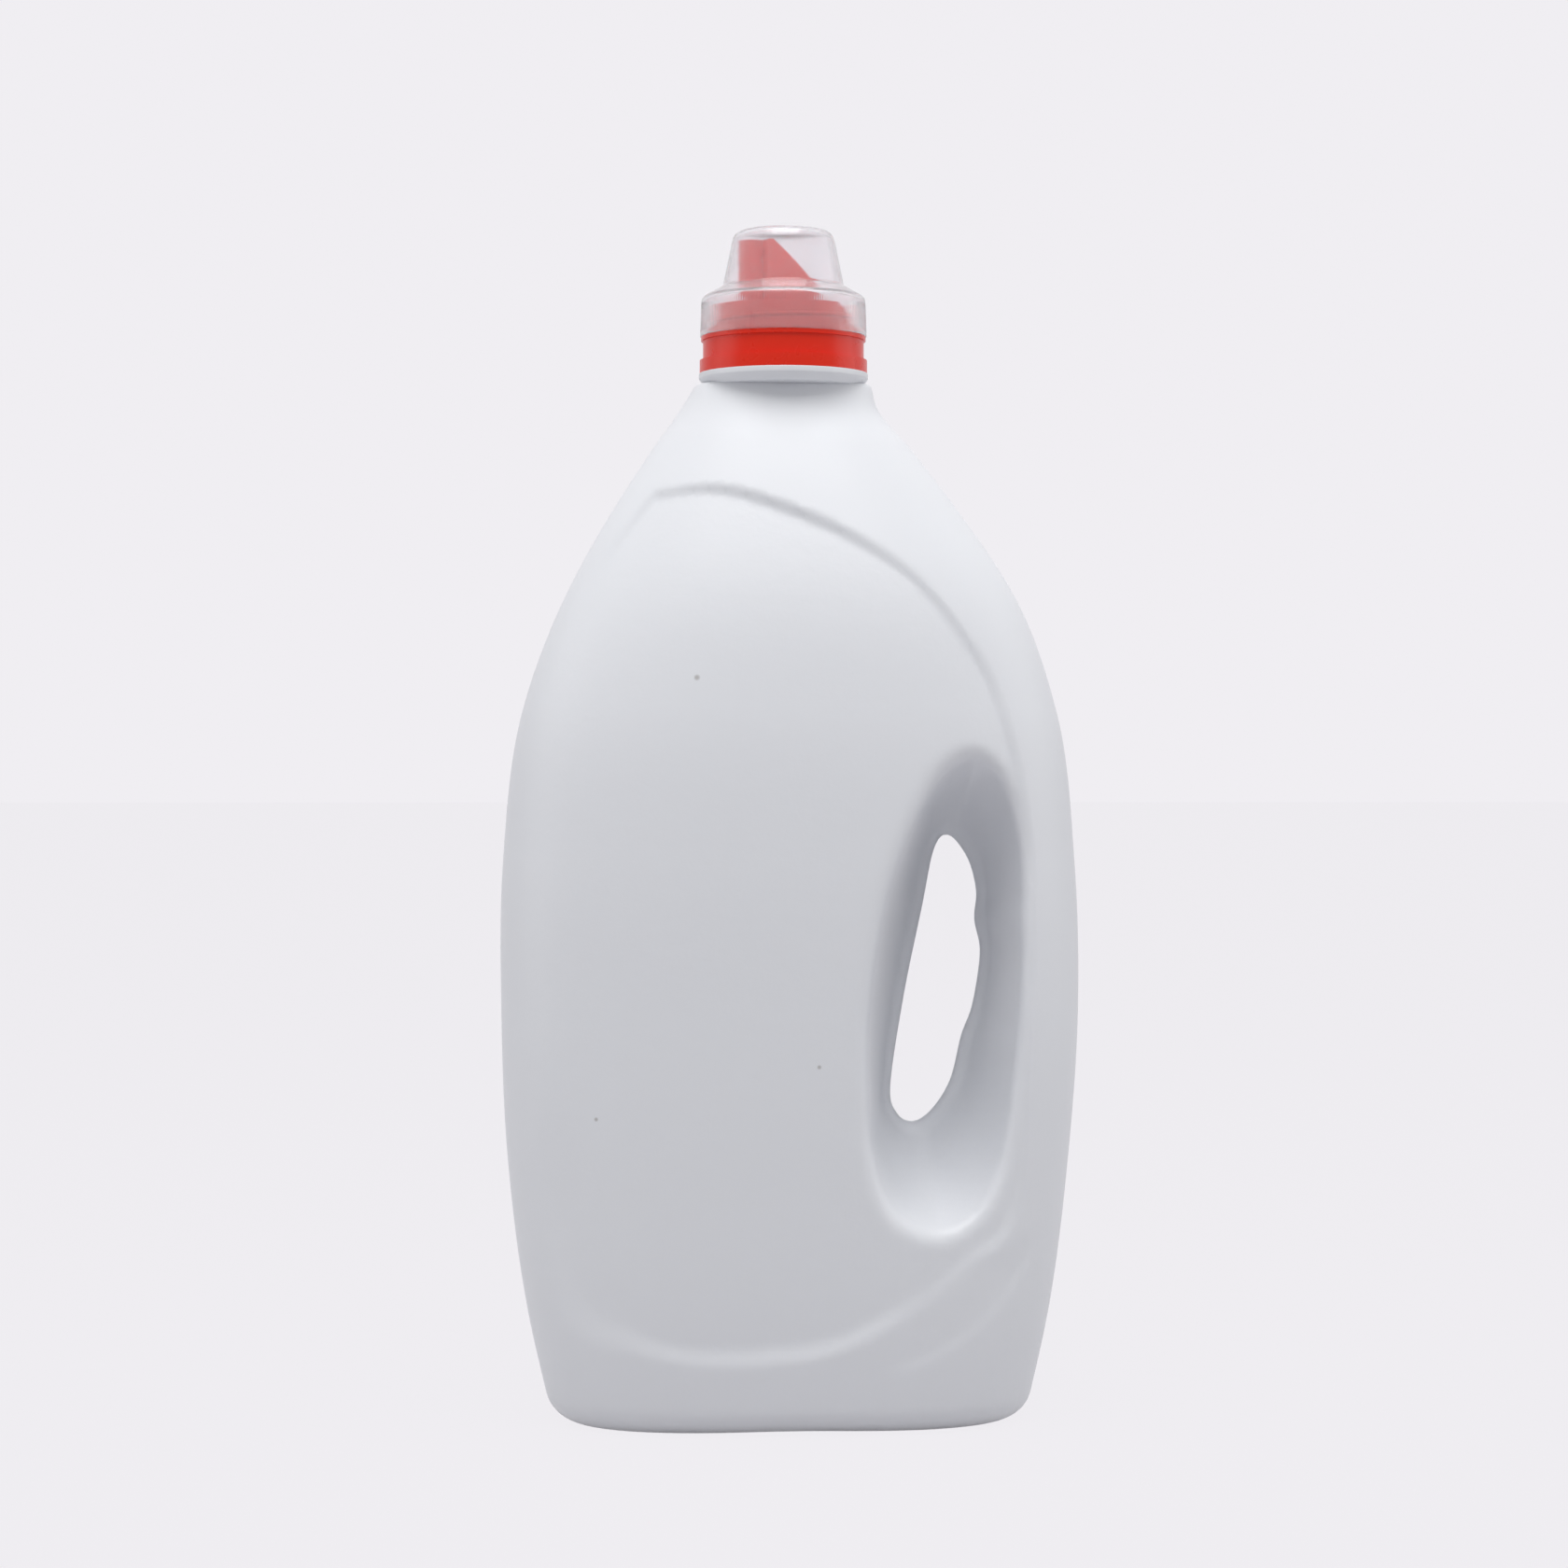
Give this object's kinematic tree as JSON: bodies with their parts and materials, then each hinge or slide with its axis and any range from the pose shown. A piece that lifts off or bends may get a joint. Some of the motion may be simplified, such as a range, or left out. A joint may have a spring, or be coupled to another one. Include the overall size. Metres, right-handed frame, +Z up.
{
  "type": "laundry detergent bottle",
  "caption": "Upright blown bottle with a finger window beside its handle, a push-fit pour spout and a clear dosing cap that screws on over the spout.",
  "frame": {"origin": "on the ground under the middle of the body, at the centre of the standing base", "axes": "+Z up, +X towards the handle, -Y towards the front label panel"},
  "size_m": [0.1829, 0.112, 0.3747],
  "materials": {
    "white_polyethylene": "blown polyethylene, satin, finely blasted on the label panels",
    "red_polypropylene": "moulded polypropylene, glossy red",
    "clear_polypropylene": "moulded polypropylene, clear with a milky cast"
  },
  "bodies": {
    "bottle_body": {"bottle": "white_polyethylene", "pour_spout": "red_polypropylene"},
    "cap": {"dosing_cap": "clear_polypropylene"}
  },
  "joints": [
    {"name": "cap_lift", "type": "slide", "parent": "bottle_body", "child": "cap", "axis": [0, 0, 1], "range_m": [0, 0.045]}
  ]
}
